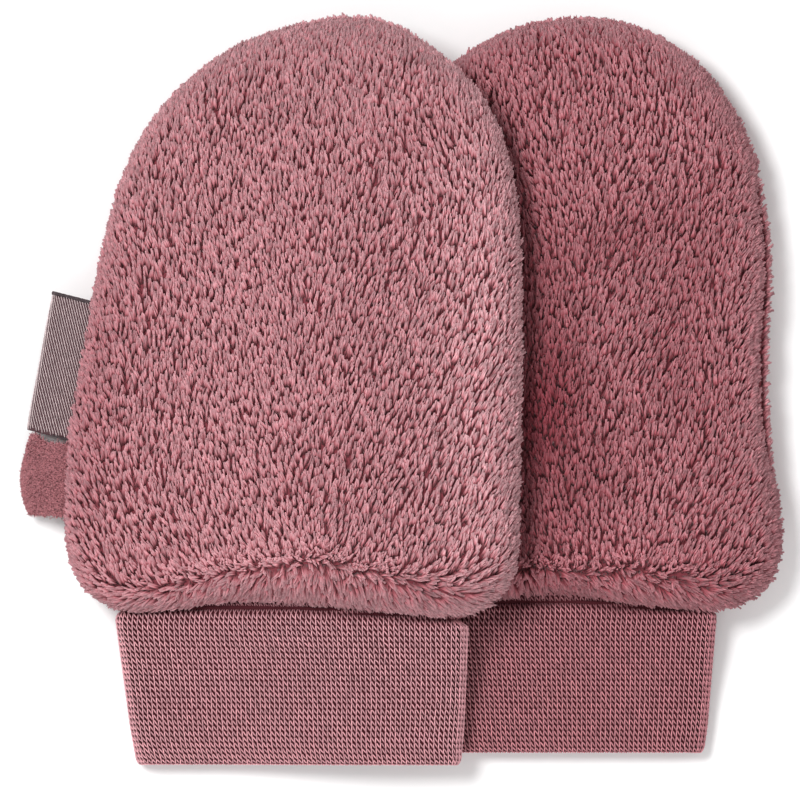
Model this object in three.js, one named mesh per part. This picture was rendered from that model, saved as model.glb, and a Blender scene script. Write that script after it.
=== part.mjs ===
// A pair of thumbless baby mittens in deep-pile plush with knitted cuffs, laid flat.
// The left mitten laps over the right one.
// Millimetres, +Z up. The pair lies on Z = 0, fingertips towards +Y, cuffs towards -Y, seen from above.
// Each mitten is a front and a back panel of plush, sewn together round the edge, and a doubled knit tube.
// The left mitten also has a folded woven label, left plain, and a folded cloth tab in its outer seam.
import * as THREE from "three";

// The sewn edge of each mitten as it lies, anticlockwise from the fingertips.
// A smooth closed line runs through the rows.
const LEFT_EDGE = [
  { x: -4.0, y: 62.3 },
  { x: -23.3, y: 59.7 },
  { x: -33.3, y: 54.2 },
  { x: -40.8, y: 46.7 },
  { x: -46.5, y: 36.8 },
  { x: -51.8, y: 15.2 },
  { x: -53.9, y: 3.5 },
  { x: -56.2, y: -12.0 },
  { x: -55.5, y: -28.8 },
  { x: -52.7, y: -33.7 },
  { x: -47.0, y: -36.7 },
  { x: -36.7, y: -36.8 },
  { x: -28.3, y: -35.5 },
  { x: -13.5, y: -35.7 },
  { x: 7.7, y: -37.7 },
  { x: 15.0, y: -35.8 },
  { x: 19.0, y: -31.5 },
  { x: 20.3, y: -14.2 },
  { x: 19.7, y: 32.7 },
  { x: 16.5, y: 44.7 },
  { x: 11.0, y: 52.8 },
];
const RIGHT_EDGE = [
  { x: 28.3, y: 62.5 },
  { x: 14.2, y: 58.7 },
  { x: 1.3, y: 47.7 },
  { x: -5.7, y: 35.2 },
  { x: -8.3, y: 26.8 },
  { x: -13.8, y: -18.2 },
  { x: -12.2, y: -30.7 },
  { x: -9.2, y: -34.3 },
  { x: -5.0, y: -36.0 },
  { x: 2.0, y: -36.3 },
  { x: 24.3, y: -33.7 },
  { x: 42.8, y: -36.2 },
  { x: 56.7, y: -35.3 },
  { x: 61.3, y: -31.5 },
  { x: 63.2, y: -23.2 },
  { x: 62.0, y: -9.0 },
  { x: 61.4, y: 2.7 },
  { x: 62.0, y: 23.5 },
  { x: 60.7, y: 32.7 },
  { x: 59.6, y: 38.8 },
  { x: 44.0, y: 59.2 },
];

// Depth of one mitten, lying by itself.
const PLUSH_WALL = 6; // backing and pile together
const SEAM_Z = 6.5; // height of the side seam
const SEAM_GAP = 0.3; // clearance between pieces where they are sewn
const CUFF_GAP = 0.45; // the same above and below the cuff, where it slopes
const SEAM_GROOVE = 0.8; // the small rounding on each side of the seam
const EDGE_ROUND = 7; // how far in from the edge the rounding reaches
const EDGE_TOP = 13; // top of the front panel where the rounding ends
const CROWN = 2; // extra height in the middle of the front panel
const INNER_ROUND = 5; // how far the hollow takes to reach its full height
const HEM_CREASE = { inset: 6.5, width: 1.8, depth: 0.8 }; // where the hem's seam allowance ends
const HEM_Y = -28; // the hem is the stretch of the edge below this
const HEM_SPREAD = { from: 1.7, to: 6.7 }; // the seam edges part over this stretch outside the cuff
const ROLL = { acrossX: 24, fromY: -24, fadeIn: 12, toY: 48, fadeOut: 16, rise: 0.9 }; // of a drawn-in edge

// The cuff: a doubled knit tube, pressed flat.
const CUFF_WALL = 2;
const CUFF_TOP_Y = -31.8; // its sewn end, hidden between the panels
const CUFF_PLUSH_Y = -36.5; // where it comes out of the plush
const CUFF_REST_Y = -56; // from here on its underside lies level
const CUFF_HALF_HEIGHT = 2.3; // at the seam, above and below its middle
const SHOULDER = { y: -40, halfHeight: 3.2 }; // its fuller top just below the plush
const CUFF_END = { above: 2.8, below: 2.6, edgeRound: 0.9, corner: 1.4, cornerLength: 2.6 };

// Where each mitten's middle and cuff lie. seamRoll is how far the front panel's outer edge is drawn in.
const LEFT = {
  edge: LEFT_EDGE,
  heart: { x: -17, y: 4 },
  cuff: { hemX: -18.1, hemHalf: 29.8, endX: -16.9, endHalf: 27.5, endY: -62.6 },
  seamRoll: 0,
};
const RIGHT = {
  edge: RIGHT_EDGE,
  heart: { x: 25.5, y: 4 },
  cuff: { hemX: 23.3, hemHalf: 29.8, endX: 24.1, endHalf: 27.1, endY: -60.6 },
  seamRoll: 2,
};

// How the left mitten lies over the right one.
const SQUEEZE = 0.2; // share of its height that the right mitten loses underneath
const SQUEEZE_REACH = 6; // how far the pressing spreads on each side of the left mitten's edge
const BRIDGE = 30; // the left mitten comes down to the surface over this length
const LIFT = { cuff: 5, cuffY: -58, body: 12.3, bodyY: -30 }; // how high the cuff and the plush carry it

// Soft troughs in the front panels: middle, half length and width, turn clockwise from +Y in degrees, depth.
const LEFT_TROUGHS = [
  { x: -12.5, y: -12, length: 15, width: 4.5, turn: 80, depth: 0.9 },
  { x: 6, y: 42, length: 7, width: 4, turn: 60, depth: 0.8 },
  { x: -39.5, y: 32, length: 12, width: 4, turn: -5, depth: 0.7 },
  { x: -22, y: 16, length: 16, width: 5, turn: 15, depth: 0.5 },
];
const RIGHT_TROUGHS = [
  { x: 38, y: 22, length: 16, width: 5, turn: 60, depth: 1.3 },
  { x: 45, y: 7, length: 14, width: 4.5, turn: -24, depth: 1.2 },
  { x: 28, y: -10, length: 13, width: 5, turn: 50, depth: 1.1 },
  { x: 27, y: 12, length: 14, width: 4, turn: -14, depth: 0.7 },
];

// The label and the tab are strips folded in two that stand out of the left mitten's outer seam.
// fromY and toY are their ends at the seam, outFrom and outTo how far the fold stands out there, bulge how much
// more in the middle. rise is their climb towards +Y on the way out, and drop how far they sink.
const LABEL = {
  fromY: -8.1,
  toY: 15.3,
  outFrom: 6.3,
  outTo: 5.9,
  bulge: 0,
  rise: 0.25,
  drop: 3.4,
  layer: 0.5,
  slit: 0.3,
};
const TAB = {
  fromY: -20.8,
  toY: -8.9,
  outFrom: 5.6,
  outTo: 5.7,
  bulge: 1.3,
  rise: 0.05,
  drop: 3.6,
  layer: 1.1,
  slit: 0.3,
};

const DROOP_SHARE = 0.75; // they still point down where they end

const PLUSH_COLOUR = 0xb47880;
const KNIT_COLOUR = 0xa0686f;
const LABEL_COLOUR = 0x8d7c7d;
const TAB_COLOUR = 0x925c61;

// Where the rings of a panel lie: ways in from its edge, and shares of the way from its middle.
const SKIN_SHARES = [0.24, 0.47, 0.68, 0.86];
const SKIN_INSETS = [9, 7, 5, 3.2, 1.8, 0.8];
const RIM_INSETS = [0.6, 3.3, PLUSH_WALL];
const HOLLOW_INSETS = [8, 11];
const HOLLOW_SHARES = [0.64, 0.32];

// Where the rings of a cuff lie, on its outside and back on its inside.
const CUFF_OUTSIDE_YS = [CUFF_TOP_Y, -34, -36, -37.5, -39, -41, -44, -48, -52, CUFF_REST_Y];
const CUFF_INSIDE_YS = [-54, -46, -38.5, CUFF_TOP_Y];

// Spacing of points along the edge, and counts of segments.
const SIDE_SPACING = 5.6;
const HEM_SPACING = 3;
const OUTLINE_FINE = 240;
const CUFF_FLAT_STEPS = 16;
const CUFF_TURN_STEPS = 5;
const STRIP_STATIONS = 8;
const STRIP_STEPS = 4;
const FOLD_TURNS = [Math.PI / 4, 0, -Math.PI / 4];

const clamp01 = (t) => Math.min(1, Math.max(0, t));
const smooth = (t) => clamp01(t) ** 2 * (3 - 2 * clamp01(t));
const lerp = (a, b, t) => a + (b - a) * t;

// 0 at the edge and 1 from the given distance on, as a quarter circle.
const rounding = (inset, over) => Math.sqrt(1 - (1 - clamp01(inset / over)) ** 2);

// How far inside a closed outline a place lies, negative outside it.
function depthInside(outline, x, y) {
  let nearest = Infinity;
  let inside = false;
  outline.forEach((a, i) => {
    const b = outline[(i + 1) % outline.length];
    const along = clamp01(((x - a.x) * (b.x - a.x) + (y - a.y) * (b.y - a.y)) / a.distanceToSquared(b));
    nearest = Math.min(nearest, Math.hypot(x - lerp(a.x, b.x, along), y - lerp(a.y, b.y, along)));
    if (a.y > y !== b.y > y && x < lerp(a.x, b.x, (y - a.y) / (b.y - a.y))) inside = !inside;
  });
  return inside ? nearest : -nearest;
}

// Adds the fine outlines of plush and cuff to a mitten.
function drawPlan(mitten) {
  const rows = mitten.edge.map((row) => new THREE.Vector3(row.x, row.y, 0));
  const curve = new THREE.CatmullRomCurve3(rows, true, "centripetal");
  const fine = curve.getSpacedPoints(OUTLINE_FINE).slice(0, OUTLINE_FINE);
  mitten.plush = fine.map((p) => new THREE.Vector2(p.x, p.y));
  const { hemX, hemHalf, endX, endHalf, endY } = mitten.cuff;
  mitten.cuffPlan = [
    new THREE.Vector2(hemX - hemHalf, CUFF_TOP_Y),
    new THREE.Vector2(endX - endHalf, endY),
    new THREE.Vector2(endX + endHalf, endY),
    new THREE.Vector2(hemX + hemHalf, CUFF_TOP_Y),
  ];
}

function depthInPlan(mitten, x, y) {
  return Math.max(depthInside(mitten.plush, x, y), depthInside(mitten.cuffPlan, x, y));
}

// From a height in a mitten lying by itself to its place in the pair.
function lay(mitten, x, y, z) {
  if (mitten === RIGHT) {
    const under = smooth((depthInPlan(LEFT, x, y) + SQUEEZE_REACH) / (2 * SQUEEZE_REACH));
    return new THREE.Vector3(x, y, z * (1 - SQUEEZE * under));
  }
  const carried = lerp(LIFT.cuff, LIFT.body, smooth((y - LIFT.cuffY) / (LIFT.bodyY - LIFT.cuffY)));
  return new THREE.Vector3(x, y, z + carried * smooth(1 + depthInPlan(RIGHT, x, y) / BRIDGE));
}

// 1 where the edge runs over the cuff, 0 elsewhere.
function hemShare(mitten, p) {
  const beyondCuff = Math.abs(p.x - mitten.cuff.hemX) - mitten.cuff.hemHalf;
  return p.y < HEM_Y ? smooth((HEM_SPREAD.to - beyondCuff) / (HEM_SPREAD.to - HEM_SPREAD.from)) : 0;
}

// How far the front panel's edge is drawn in at a point of the edge.
function rollAt(mitten, p) {
  const outward = smooth((p.x - mitten.heart.x) / ROLL.acrossX);
  const upFromHem = smooth((p.y - ROLL.fromY) / ROLL.fadeIn);
  const downFromTip = smooth((ROLL.toY - p.y) / ROLL.fadeOut);
  return mitten.seamRoll * outward * upFromHem * downFromTip;
}

// The points that a panel's rings start from, closer together along the hem.
function ringStarts(mitten) {
  const starts = [];
  let toNext = 0;
  mitten.plush.forEach((p, i) => {
    if (toNext <= 0) {
      starts.push({ x: p.x, y: p.y, hem: hemShare(mitten, p), roll: rollAt(mitten, p) });
      toNext = p.y < HEM_Y ? HEM_SPACING : SIDE_SPACING;
    }
    toNext -= p.distanceTo(mitten.plush[(i + 1) % OUTLINE_FINE]);
  });
  return starts;
}

function troughs(rows, x, y) {
  return rows.reduce((sum, row) => {
    const turn = THREE.MathUtils.degToRad(row.turn);
    const along = (x - row.x) * Math.sin(turn) + (y - row.y) * Math.cos(turn);
    const across = (x - row.x) * Math.cos(turn) - (y - row.y) * Math.sin(turn);
    return sum + row.depth * Math.exp(-((along / row.length) ** 2) - (across / row.width) ** 2);
  }, 0);
}

// Closed solid from faces over vertices, turned to face out.
function solid(vertices, faces) {
  const geometry = new THREE.BufferGeometry().setFromPoints(vertices);
  const wedge = ([a, b, c]) => vertices[a].dot(vertices[b].clone().cross(vertices[c]));
  const facesOut = faces.reduce((sum, face) => sum + wedge(face), 0) > 0;
  geometry.setIndex((facesOut ? faces : faces.map((face) => face.toReversed())).flat());
  geometry.computeVertexNormals();
  return geometry;
}

// The band of faces between two loops of vertices that start at the given indices.
function band(count, from, to) {
  return Array.from({ length: count }, (_, i) => {
    const j = (i + 1) % count;
    return [[from + i, from + j, to + j], [from + i, to + j, to + i]];
  }).flat();
}

// Closed solid through rings of equal length, from a first point to a last one.
function bowl(first, rings, last) {
  const count = rings[0].length;
  const vertices = [...rings.flat(), first, last];
  const bands = rings.slice(1).flatMap((_, r) => band(count, r * count, (r + 1) * count));
  const end = (rings.length - 1) * count;
  const caps = rings[0].flatMap((_, i) => {
    const j = (i + 1) % count;
    return [[vertices.length - 2, j, i], [vertices.length - 1, end + i, end + j]];
  });
  return solid(vertices, [...bands, ...caps]);
}

// One plush panel: its outer skin from the middle to the seam, the seam edge, and the inner skin back again.
function plushPanel(mitten, isFront, rows) {
  const starts = ringStarts(mitten);
  const { heart } = mitten;
  const side = isFront ? 1 : -1;
  const rimHeight = (p) => {
    const alongSide = SEAM_Z + ROLL.rise * p.roll + (side * SEAM_GAP) / 2;
    const alongCuff = SEAM_Z + side * (CUFF_HALF_HEIGHT + CUFF_GAP);
    return lerp(alongSide, alongCuff, p.hem);
  };
  const frontTop = (x, y, share) => EDGE_TOP + CROWN * (1 - share ** 2) - troughs(rows, x, y);
  const skinHeight = (p, inset, x, y, share) => {
    const round = rounding(inset, EDGE_ROUND);
    if (!isFront) return rimHeight(p) * (1 - round);
    const fromCrease = (inset - HEM_CREASE.inset) / HEM_CREASE.width;
    const crease = HEM_CREASE.depth * p.hem * Math.exp(-(fromCrease ** 2));
    return lerp(rimHeight(p), frontTop(x, y, share), round) - crease;
  };
  const hollowHeight = (p, inset, x, y, share) => {
    const full = isFront ? frontTop(x, y, share) - PLUSH_WALL : PLUSH_WALL;
    return lerp(rimHeight(p), full, smooth((inset - PLUSH_WALL) / INNER_ROUND));
  };
  // A ring lies a given way in from the panel's edge, or at a share of the way from the middle to there.
  const ring = (height, inset, ofWay = 1) =>
    starts.map((p) => {
      const toSeam = Math.hypot(p.x - heart.x, p.y - heart.y);
      const toEdge = toSeam - (isFront ? p.roll : 0);
      const radius = (toEdge - inset) * ofWay;
      const x = lerp(heart.x, p.x, radius / toSeam);
      const y = lerp(heart.y, p.y, radius / toSeam);
      return lay(mitten, x, y, height(p, toEdge - radius, x, y, radius / toEdge));
    });
  const groove = (p, ...place) => {
    const skin = skinHeight(p, ...place);
    const edge = rimHeight(p) + (side * SEAM_GROOVE) / 2;
    return isFront ? Math.max(edge, skin) : Math.min(edge, skin);
  };
  const rings = [
    ...SKIN_SHARES.map((ofWay) => ring(skinHeight, SKIN_INSETS[0], ofWay)),
    ...SKIN_INSETS.map((inset) => ring(skinHeight, inset)),
    ring(groove, 0),
    ...RIM_INSETS.map((inset) => ring(rimHeight, inset)),
    ...HOLLOW_INSETS.map((inset) => ring(hollowHeight, inset)),
    ...HOLLOW_SHARES.map((ofWay) => ring(hollowHeight, HOLLOW_INSETS.at(-1), ofWay)),
  ];
  const deep = { hem: 0, roll: 0 };
  const middle = (height) => lay(mitten, heart.x, heart.y, height(deep, Infinity, heart.x, heart.y, 0));
  return bowl(middle(skinHeight), rings, middle(hollowHeight));
}

// The cuff's section at y, drawn in from its outer form by a given way: a flat tube with round sides.
function cuffSection(mitten, y, drawnIn) {
  const { hemX, hemHalf, endX, endHalf, endY } = mitten.cuff;
  const share = clamp01((CUFF_PLUSH_Y - y) / (CUFF_PLUSH_Y - endY));
  const sag = smooth((CUFF_PLUSH_Y + 1 - y) / (CUFF_PLUSH_Y + 1 - CUFF_REST_Y));
  const pastPlush = smooth((CUFF_PLUSH_Y - y) / (CUFF_PLUSH_Y - SHOULDER.y));
  const full = lerp(CUFF_HALF_HEIGHT, SHOULDER.halfHeight, pastPlush);
  const middle = lerp(SEAM_Z, CUFF_END.below, sag);
  const above = lerp(full, CUFF_END.above, share) - drawnIn;
  const below = lerp(CUFF_HALF_HEIGHT, CUFF_END.below, sag) - drawnIn;
  const side = (above + below) / 2;
  const corner = CUFF_END.corner * (1 - rounding(y - endY + 0.2, CUFF_END.cornerLength));
  const straight = lerp(hemHalf, endHalf, share) - corner - drawnIn - side;
  const across = (i) => straight - (2 * straight * i) / CUFF_FLAT_STEPS;
  const halfTurn = (i) => (Math.PI * i) / CUFF_TURN_STEPS;
  const points = [];
  const add = (x, z) => points.push(lay(mitten, lerp(hemX, endX, share) + x, y, middle + z));
  [1, -1].forEach((way) => {
    for (let i = 0; i < CUFF_FLAT_STEPS; i += 1) add(way * across(i), way > 0 ? above : -below);
    for (let i = 0; i < CUFF_TURN_STEPS; i += 1) {
      const z = way * Math.cos(halfTurn(i));
      add(-way * (straight + side * Math.sin(halfTurn(i))), z * (z > 0 ? above : below));
    }
  });
  return points;
}

// The cuff runs from its sewn end down its outside, round the fold at its free end and back up its inside.
function cuff(mitten) {
  const foldY = mitten.cuff.endY + CUFF_END.edgeRound;
  const rings = [
    ...[...CUFF_OUTSIDE_YS, foldY].map((y) => cuffSection(mitten, y, 0)),
    cuffSection(mitten, mitten.cuff.endY, CUFF_END.edgeRound),
    ...[foldY, ...CUFF_INSIDE_YS].map((y) => cuffSection(mitten, y, CUFF_WALL)),
  ];
  const count = rings[0].length;
  const faces = rings.flatMap((_, r) => band(count, r * count, ((r + 1) % rings.length) * count));
  return solid(rings.flat(), faces);
}

// Where the left mitten's outer seam lies at y.
function outerSeamX(y) {
  const { plush } = LEFT;
  const i = plush.findIndex((p, k) => k > 0 && p.x < LEFT.heart.x && p.y < y && plush[k - 1].y >= y);
  const [above, below] = [plush[i - 1], plush[i]];
  return lerp(above.x, below.x, (above.y - y) / (above.y - below.y));
}

// A strip folded in two, sewn in by its two edges, with its fold standing out.
function foldedStrip(strip) {
  const thick = strip.layer + strip.slit / 2;
  const sections = Array.from({ length: STRIP_STATIONS + 1 }, (_, k) => {
    const share = k / STRIP_STATIONS;
    const seamY = lerp(strip.fromY, strip.toY, share);
    const seamX = outerSeamX(seamY) - SEAM_GAP;
    const out = lerp(strip.outFrom, strip.outTo, share) + strip.bulge * (1 - (2 * share - 1) ** 2);
    const at = (away, height) => {
      const middle = SEAM_Z - strip.drop * smooth((DROOP_SHARE * away) / out);
      return lay(LEFT, seamX - away, seamY + strip.rise * away, middle + height);
    };
    const fold = out - thick;
    const ways = Array.from({ length: STRIP_STEPS + 1 }, (__, i) => (i / STRIP_STEPS) * fold);
    return [
      ...ways.map((away) => at(away, thick)),
      ...FOLD_TURNS.map((turn) => at(fold + thick * Math.cos(turn), thick * Math.sin(turn))),
      ...ways.toReversed().map((away) => at(away, -thick)),
      ...ways.map((away) => at(away, -strip.slit / 2)),
      at(fold + strip.slit / 2, 0),
      ...ways.toReversed().map((away) => at(away, strip.slit / 2)),
    ];
  });
  const count = sections[0].length;
  const profile = sections[0].map((p) => new THREE.Vector2(p.x, p.z));
  const bands = sections.slice(1).flatMap((_, s) => band(count, s * count, (s + 1) * count));
  const end = THREE.ShapeUtils.triangulateShape(profile, []);
  const runsWithBand = end.some((face) => face.some((i, k) => i === 0 && face[(k + 1) % 3] === 1));
  const near = runsWithBand ? end.map((face) => face.toReversed()) : end;
  const far = near.map((face) => face.toReversed().map((i) => i + (sections.length - 1) * count));
  return solid(sections.flat(), [...bands, ...near, ...far]);
}

function piece(name, geometry, color, roughness) {
  const mesh = new THREE.Mesh(geometry, new THREE.MeshStandardMaterial({ color, roughness, metalness: 0 }));
  mesh.name = name;
  return mesh;
}

[LEFT, RIGHT].forEach(drawPlan);
const pair = new THREE.Group();
[
  { side: "left", mitten: LEFT, rows: LEFT_TROUGHS },
  { side: "right", mitten: RIGHT, rows: RIGHT_TROUGHS },
].forEach(({ side, mitten, rows }) => {
  pair.add(piece(side + "_front_panel", plushPanel(mitten, true, rows), PLUSH_COLOUR, 0.95));
  pair.add(piece(side + "_back_panel", plushPanel(mitten, false, rows), PLUSH_COLOUR, 0.95));
  pair.add(piece(side + "_cuff", cuff(mitten), KNIT_COLOUR, 0.9));
});
pair.add(piece("left_label", foldedStrip(LABEL), LABEL_COLOUR, 0.6));
pair.add(piece("left_tab", foldedStrip(TAB), TAB_COLOUR, 0.95));

export default pair;
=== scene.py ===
# %% [markdown]
# # A pair of baby mittens in plush, with knitted cuffs
#
# Two thumbless mittens lie flat on a pale table, and the left one laps over the right one. Each has a
# front and a back panel of deep plush and a cuff of fine knit. A blank woven label and a small cloth
# tab stand out of the left mitten's outer seam. The solids of the frame give the true form of each
# piece. This script covers them with what cloth really shows: a pile of single hairs, stitches of yarn
# and a woven twill.

# %% Load the frame
import math

import bpy
import numpy as np
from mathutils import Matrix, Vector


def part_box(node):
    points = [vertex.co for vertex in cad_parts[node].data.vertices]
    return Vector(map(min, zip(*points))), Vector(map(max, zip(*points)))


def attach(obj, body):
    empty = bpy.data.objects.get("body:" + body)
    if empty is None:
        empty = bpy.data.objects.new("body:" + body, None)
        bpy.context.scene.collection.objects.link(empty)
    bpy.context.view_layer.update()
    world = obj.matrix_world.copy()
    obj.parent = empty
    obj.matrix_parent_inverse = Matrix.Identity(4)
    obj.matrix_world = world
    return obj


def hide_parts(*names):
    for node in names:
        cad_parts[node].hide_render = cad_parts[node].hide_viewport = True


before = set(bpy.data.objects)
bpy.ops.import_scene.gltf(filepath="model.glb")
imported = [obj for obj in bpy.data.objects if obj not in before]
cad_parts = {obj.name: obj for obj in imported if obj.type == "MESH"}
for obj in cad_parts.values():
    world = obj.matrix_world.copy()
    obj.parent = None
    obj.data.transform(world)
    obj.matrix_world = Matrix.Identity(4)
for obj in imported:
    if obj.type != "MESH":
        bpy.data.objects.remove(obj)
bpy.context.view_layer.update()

MM = 0.001

# %% [markdown]
# ## The camera
#
# The photograph looks straight down. A camera with a very long lens, far above the table, shows the
# pair almost without perspective, as a photograph of goods does.

# %% Camera
VIEW_SIDE = 133.33 * MM
LENS = 900
SENSOR = 36
SHARP_PLANE = 12 * MM
VIEW_CENTRE_Y = -1.5 * MM

camera = bpy.data.objects.new("camera", bpy.data.cameras.new("camera"))
camera.data.lens = LENS
camera.data.sensor_width = SENSOR
camera.data.clip_end = 20
camera.location = (0, VIEW_CENTRE_Y, SHARP_PLANE + VIEW_SIDE * LENS / SENSOR)
bpy.context.scene.collection.objects.link(camera)
bpy.context.scene.camera = camera
print("camera height in m:", round(camera.location.z, 2))

# %% [markdown]
# ## Light and table
#
# A large soft lamp up to the left makes each lock of pile bright on one side and dark on the other, and
# lays a short shadow to the lower right. A weaker lamp from the side of the cuffs brightens the fringe,
# and the pale surroundings fill the rest. The view transform is Standard, so that the dusty pink comes
# out as it was chosen.

# %% Light and table
LAMPS = {
    "key_light": {"at": (-0.5, 0.38, 1.25), "size": 0.5, "power": 15.2},
    "front_light": {"at": (0.1, -0.9, 0.9), "size": 0.8, "power": 5},
}
FILL_STRENGTH = 0.6


def linear(red, green, blue):
    """A colour as a paint chart gives it, from 0 to 255, in the light values that a shader wants."""
    scaled = [v / 255 for v in (red, green, blue)]
    return tuple(v / 12.92 if v < 0.04045 else ((v + 0.055) / 1.055) ** 2.4 for v in scaled) + (1,)


for name, row in LAMPS.items():
    lamp = bpy.data.objects.new(name, bpy.data.lights.new(name, "AREA"))
    lamp.data.shape = "DISK"
    lamp.data.size = row["size"]
    lamp.data.energy = row["power"]
    lamp.location = row["at"]
    x, y, z = row["at"]
    lamp.rotation_euler = (math.atan2(math.hypot(x, y), z), 0, math.atan2(x, -y))
    bpy.context.scene.collection.objects.link(lamp)

world = bpy.data.worlds.new("studio")
world.use_nodes = True
world.node_tree.nodes["Background"].inputs["Color"].default_value = (1, 1, 1, 1)
world.node_tree.nodes["Background"].inputs["Strength"].default_value = FILL_STRENGTH
bpy.context.scene.world = world
bpy.context.scene.view_settings.view_transform = "Standard"

bpy.ops.mesh.primitive_circle_add(vertices=64, radius=3, fill_type="NGON", location=(0, 0, 0))
table_top = bpy.context.object
table_top.name = "table_top"
table_paint = bpy.data.materials.new("table_paint")
table_paint.use_nodes = True
paint = table_paint.node_tree.nodes
grain = paint.new("ShaderNodeTexNoise")
grain.inputs["Scale"].default_value = 40
tone = paint.new("ShaderNodeValToRGB")
tone.color_ramp.elements[0].color = (0.86, 0.86, 0.86, 1)
tone.color_ramp.elements[1].color = (0.9, 0.9, 0.9, 1)
table_paint.node_tree.links.new(grain.outputs["Fac"], tone.inputs["Fac"])
table_paint.node_tree.links.new(tone.outputs["Color"], paint["Principled BSDF"].inputs["Base Color"])
paint["Principled BSDF"].inputs["Roughness"].default_value = 0.7
table_top.data.materials.append(table_paint)

# %% [markdown]
# ## Reading the outside of a panel
#
# A panel's solid is a bowl: its outer skin carries the pile, and its inner skin faces the hand. The
# outer skin is picked out by the way that its faces look. Beside the cuff one can look a little way
# into the mitten from low down, so the flat faces just inside the hem's corners are picked out too, to
# get pile of their own.

# %% Reading the outside of a panel
# Upward part of a face's look, downward for a back: above the first it is outer skin in any case, above
# the second if it also looks out to the side, and below the third it faces the hand.
LOOKS_UP = 0.3
LOOKS_UNDER = -0.45
LOOKS_INSIDE = -0.75
FACING = {"front": 1, "back": -1}
HEM_CORNER_Y = -29 * MM  # beside the cuff, below this line, the pile goes on inside the hem
CUFF_TUCK = 1.5 * MM


def unit(vectors):
    return vectors / np.maximum(np.linalg.norm(vectors, axis=-1, keepdims=True), 1e-12)


def node_triangles(node):
    """The welded corners of a solid, and its triangles as rows of three corner numbers."""
    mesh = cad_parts[node].data
    mesh.calc_loop_triangles()
    places = np.empty(len(mesh.vertices) * 3)
    mesh.vertices.foreach_get("co", places)
    rows = np.empty(len(mesh.loop_triangles) * 3, dtype=np.int32)
    mesh.loop_triangles.foreach_get("vertices", rows)
    keys = np.round(places.reshape(-1, 3) / 1e-7).astype(np.int64)
    _, first, number = np.unique(keys, axis=0, return_index=True, return_inverse=True)
    return places.reshape(-1, 3)[first], number.reshape(-1)[rows.reshape(-1, 3)]


def part_of_skin(corners, rows, across, keep):
    """Corners, triangles and smooth normals of some of a solid's faces."""
    rows, across = rows[keep], across[keep]
    normals = np.zeros_like(corners)
    for k in range(3):
        np.add.at(normals, rows[:, k], across)
    used, rows = np.unique(rows, return_inverse=True)
    return corners[used], rows.reshape(-1, 3), unit(normals[used])


def panel_skins(side, panel):
    """The outer skin of a panel, and the small parts of its inner skin in the hem's corners."""
    corners, rows = node_triangles(f"{side}_{panel}_panel")
    a, b, c = (corners[rows[:, k]] for k in range(3))
    across = np.cross(b - a, c - a)
    looks = unit(across)
    lowest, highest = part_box(f"{side}_{panel}_panel")
    heart = (np.array(lowest) + np.array(highest)) / 2
    middles = (a + b + c) / 3
    outward = (middles - heart)[:, :2]
    up = FACING[panel] * looks[:, 2]
    outer = (up > LOOKS_UP) | ((up > LOOKS_UNDER) & ((outward * looks[:, :2]).sum(1) > 0))
    cuff_low, cuff_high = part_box(f"{side}_cuff")
    beside_cuff = (middles[:, 0] < cuff_low[0] + CUFF_TUCK) | (middles[:, 0] > cuff_high[0] - CUFF_TUCK)
    mouth = ~outer & (up < LOOKS_INSIDE) & beside_cuff & (middles[:, 1] < HEM_CORNER_Y)
    return part_of_skin(corners, rows, across, outer), part_of_skin(corners, rows, across, mouth)


def area_of(corners, rows):
    a, b, c = (corners[rows[:, k]] for k in range(3))
    return np.linalg.norm(np.cross(b - a, c - a), axis=1) / 2


skins, mouths = {}, {}
for side in ("left", "right"):
    for panel in FACING:
        skins[side, panel], mouths[side, panel] = panel_skins(side, panel)
        print(side, panel, "skin in square mm:", round(area_of(*skins[side, panel][:2]).sum() / MM**2))

# %% [markdown]
# ## Plush pile
#
# Plush is a knitted ground with thousands of soft hairs standing out of it. The hairs cling together in
# locks less than a millimetre wide that all lean the way the cloth was brushed. A hair system would do,
# but its hairs are not a mesh that can be kept. So each lock here is a handful of thin closed slivers,
# whose feet are spread out in the ground and whose tips come together, all built in one go as arrays.

# %% A mesh from arrays
def new_piece(name, vertices, faces, material, smooth=True):
    """A mesh object from arrays of vertices and faces; all faces have the same number of corners."""
    mesh = bpy.data.meshes.new(name)
    count, corners = faces.shape
    mesh.vertices.add(len(vertices))
    mesh.vertices.foreach_set("co", np.ascontiguousarray(vertices, dtype=np.float32).ravel())
    mesh.loops.add(count * corners)
    mesh.loops.foreach_set("vertex_index", np.ascontiguousarray(faces, dtype=np.int32).ravel())
    mesh.polygons.add(count)
    mesh.polygons.foreach_set("loop_start", np.arange(0, count * corners, corners, dtype=np.int32))
    mesh.polygons.foreach_set("use_smooth", np.full(count, smooth))
    mesh.update(calc_edges=True)
    mesh.validate()
    mesh.materials.append(material)
    piece = bpy.data.objects.new(name, mesh)
    bpy.context.scene.collection.objects.link(piece)
    return piece


def paint_value(piece, name, values):
    """Stores one number at each vertex, for the material to read."""
    layer = piece.data.attributes.new(name, "FLOAT", "POINT")
    layer.data.foreach_set("value", values.astype(np.float32).ravel())


# %% [markdown]
# ## The colour of the pile
#
# Each hair is deep rose at its foot, where little light gets in, and paler towards its tip. The locks
# differ a little from each other, and broad soft patches of painted light and shade make it paler or
# darker.

# %% Pile material
SHADE_SPREAD = 0.25
MIDDLE_AT = 0.55
# painted shade: where the painted patches darken the pile, they redden it too
PAINTED_SHADE_REDDER = (1, 1.6, 1.5)  # a darker patch is redder too


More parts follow.
